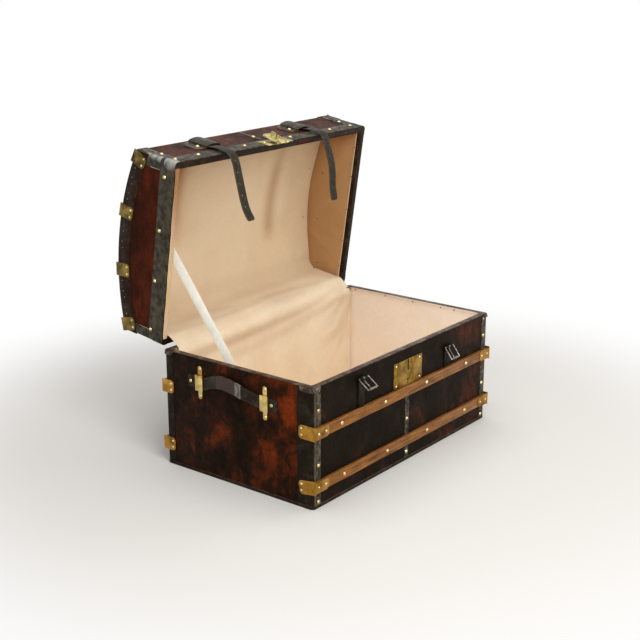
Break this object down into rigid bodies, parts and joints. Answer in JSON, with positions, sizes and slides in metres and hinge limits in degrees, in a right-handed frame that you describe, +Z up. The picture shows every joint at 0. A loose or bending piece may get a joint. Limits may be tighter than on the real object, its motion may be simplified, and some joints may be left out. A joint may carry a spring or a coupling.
{
  "type": "dome top trunk",
  "caption": "Leather-covered wooden travelling trunk with a low domed lid, brass-clamped slats, hinged hasp, strap buckles, end handles and a cloth lining.",
  "frame": {"origin": "centre of the underside, on the floor", "axes": "+X along the trunk's length to its right end seen from the front, -Y out of the front with the lock, +Z up"},
  "size_m": [0.838, 0.7004, 0.837],
  "materials": {
    "pine": "raw pine board",
    "slat": "oiled ash slat, golden brown",
    "base_leather": "dark brown hide with worn red-brown patches",
    "lid_leather": "red-brown hide, worn",
    "binding": "black leather binding, scuffed grey",
    "tin": "black japanned tin, worn",
    "brass": "aged brass",
    "steel": "plain steel",
    "nickel": "nickel-plated, dulled",
    "strap": "black strap leather",
    "lining": "peach cotton lining, creased",
    "ribbon": "cream cotton ribbon",
    "canvas": "dark waxed canvas"
  },
  "bodies": {
    "base": {"base_front_board": "pine", "base_back_board": "pine", "base_left_board": "pine", "base_right_board": "pine", "base_bottom_board": "pine", "base_underside_canvas": "canvas", "base_wall_skins": "base_leather", "base_end_skins": "base_leather", "base_corner_bindings": "binding", "base_rim_binding": "binding", "base_foot_strips": "tin", "base_edge_strips": "tin", "base_front_slats": "slat", "base_back_slats": "slat", "base_corner_clamps": "brass", "base_nails": "brass", "base_lining": "lining", "lock_plate": "brass", "lock_case": "steel", "handle_left_loops": "brass", "handle_left_tongues": "strap", "handle_right_loops": "brass", "handle_right_tongues": "strap", "buckle_left_tab": "strap", "buckle_right_tab": "strap", "hinge_base_leaves": "steel", "hinge_pins": "steel", "stay_ribbon": "ribbon", "hinge_cloth": "lining"},
    "lid": {"lid_front_board": "pine", "lid_back_board": "pine", "lid_left_board": "pine", "lid_right_board": "pine", "lid_dome_board": "pine", "lid_wall_skins": "lid_leather", "lid_dome_skin": "lid_leather", "lid_rim_binding": "binding", "lid_border_bands": "binding", "lid_dome_bindings": "binding", "lid_corner_irons": "tin", "lid_slats": "slat", "lid_clamps": "brass", "lid_nails": "brass", "lid_lining": "lining", "hasp_plate": "brass", "hasp_pin": "brass", "strap_keepers": "strap", "strap_roots": "strap", "hinge_lid_leaves": "steel"},
    "hasp": {"hasp_leaf": "brass"},
    "strap_left": {"strap_left_tail": "strap"},
    "strap_right": {"strap_right_tail": "strap"},
    "buckle_left": {"buckle_left_frame": "nickel"},
    "buckle_right": {"buckle_right_frame": "nickel"},
    "tongue_left": {"buckle_left_tongue": "nickel"},
    "tongue_right": {"buckle_right_tongue": "nickel"},
    "grip_left": {"handle_left_grip": "strap"},
    "grip_right": {"handle_right_grip": "strap"},
    "bolt": {"lock_bolt": "steel"}
  },
  "joints": [
    {"name": "lid_hinge", "type": "hinge", "parent": "base", "child": "lid", "pos_m": [0, 0.255, 0.311], "axis": [1, 0, 0], "range_deg": [0, 81.6], "deforming": ["stay_ribbon", "hinge_cloth"]},
    {"name": "hasp_hinge", "type": "hinge", "parent": "lid", "child": "hasp", "pos_m": [0, 0.17325, 0.80981], "axis": [1, 0, 0], "range_deg": [0, 172]},
    {"name": "strap_left_swing", "type": "hinge", "parent": "lid", "child": "strap_left", "pos_m": [-0.207, 0.19076, 0.81452], "axis": [1, 0, 0], "range_deg": [-90, 0]},
    {"name": "strap_right_swing", "type": "hinge", "parent": "lid", "child": "strap_right", "pos_m": [0.188, 0.19076, 0.81452], "axis": [1, 0, 0], "range_deg": [-90, 0]},
    {"name": "buckle_left_swing", "type": "hinge", "parent": "base", "child": "buckle_left", "pos_m": [-0.207, -0.253, 0.291], "axis": [1, 0, 0], "range_deg": [0, 30]},
    {"name": "buckle_right_swing", "type": "hinge", "parent": "base", "child": "buckle_right", "pos_m": [0.188, -0.253, 0.272], "axis": [1, 0, 0], "range_deg": [-14, 16]},
    {"name": "buckle_tongue_left", "type": "hinge", "parent": "buckle_left", "child": "tongue_left", "pos_m": [-0.207, -0.253, 0.291], "axis": [1, 0, 0], "range_deg": [0, 15]},
    {"name": "buckle_tongue_right", "type": "hinge", "parent": "buckle_right", "child": "tongue_right", "pos_m": [0.188, -0.253, 0.272], "axis": [1, 0, 0], "range_deg": [0, 15]},
    {"name": "handle_left_pull", "type": "slide", "parent": "base", "child": "grip_left", "axis": [-1, 0, 0], "range_m": [0, 0.012]},
    {"name": "handle_right_pull", "type": "slide", "parent": "base", "child": "grip_right", "axis": [1, 0, 0], "range_m": [0, 0.012]},
    {"name": "lock_bolt_slide", "type": "slide", "parent": "base", "child": "bolt", "axis": [-1, 0, 0], "range_m": [0, 0.014]}
  ],
  "couplings": [
    {"joint": "strap_left_swing", "follows": "lid_hinge", "ratio": -1.1},
    {"joint": "strap_right_swing", "follows": "lid_hinge", "ratio": -1.1}
  ]
}
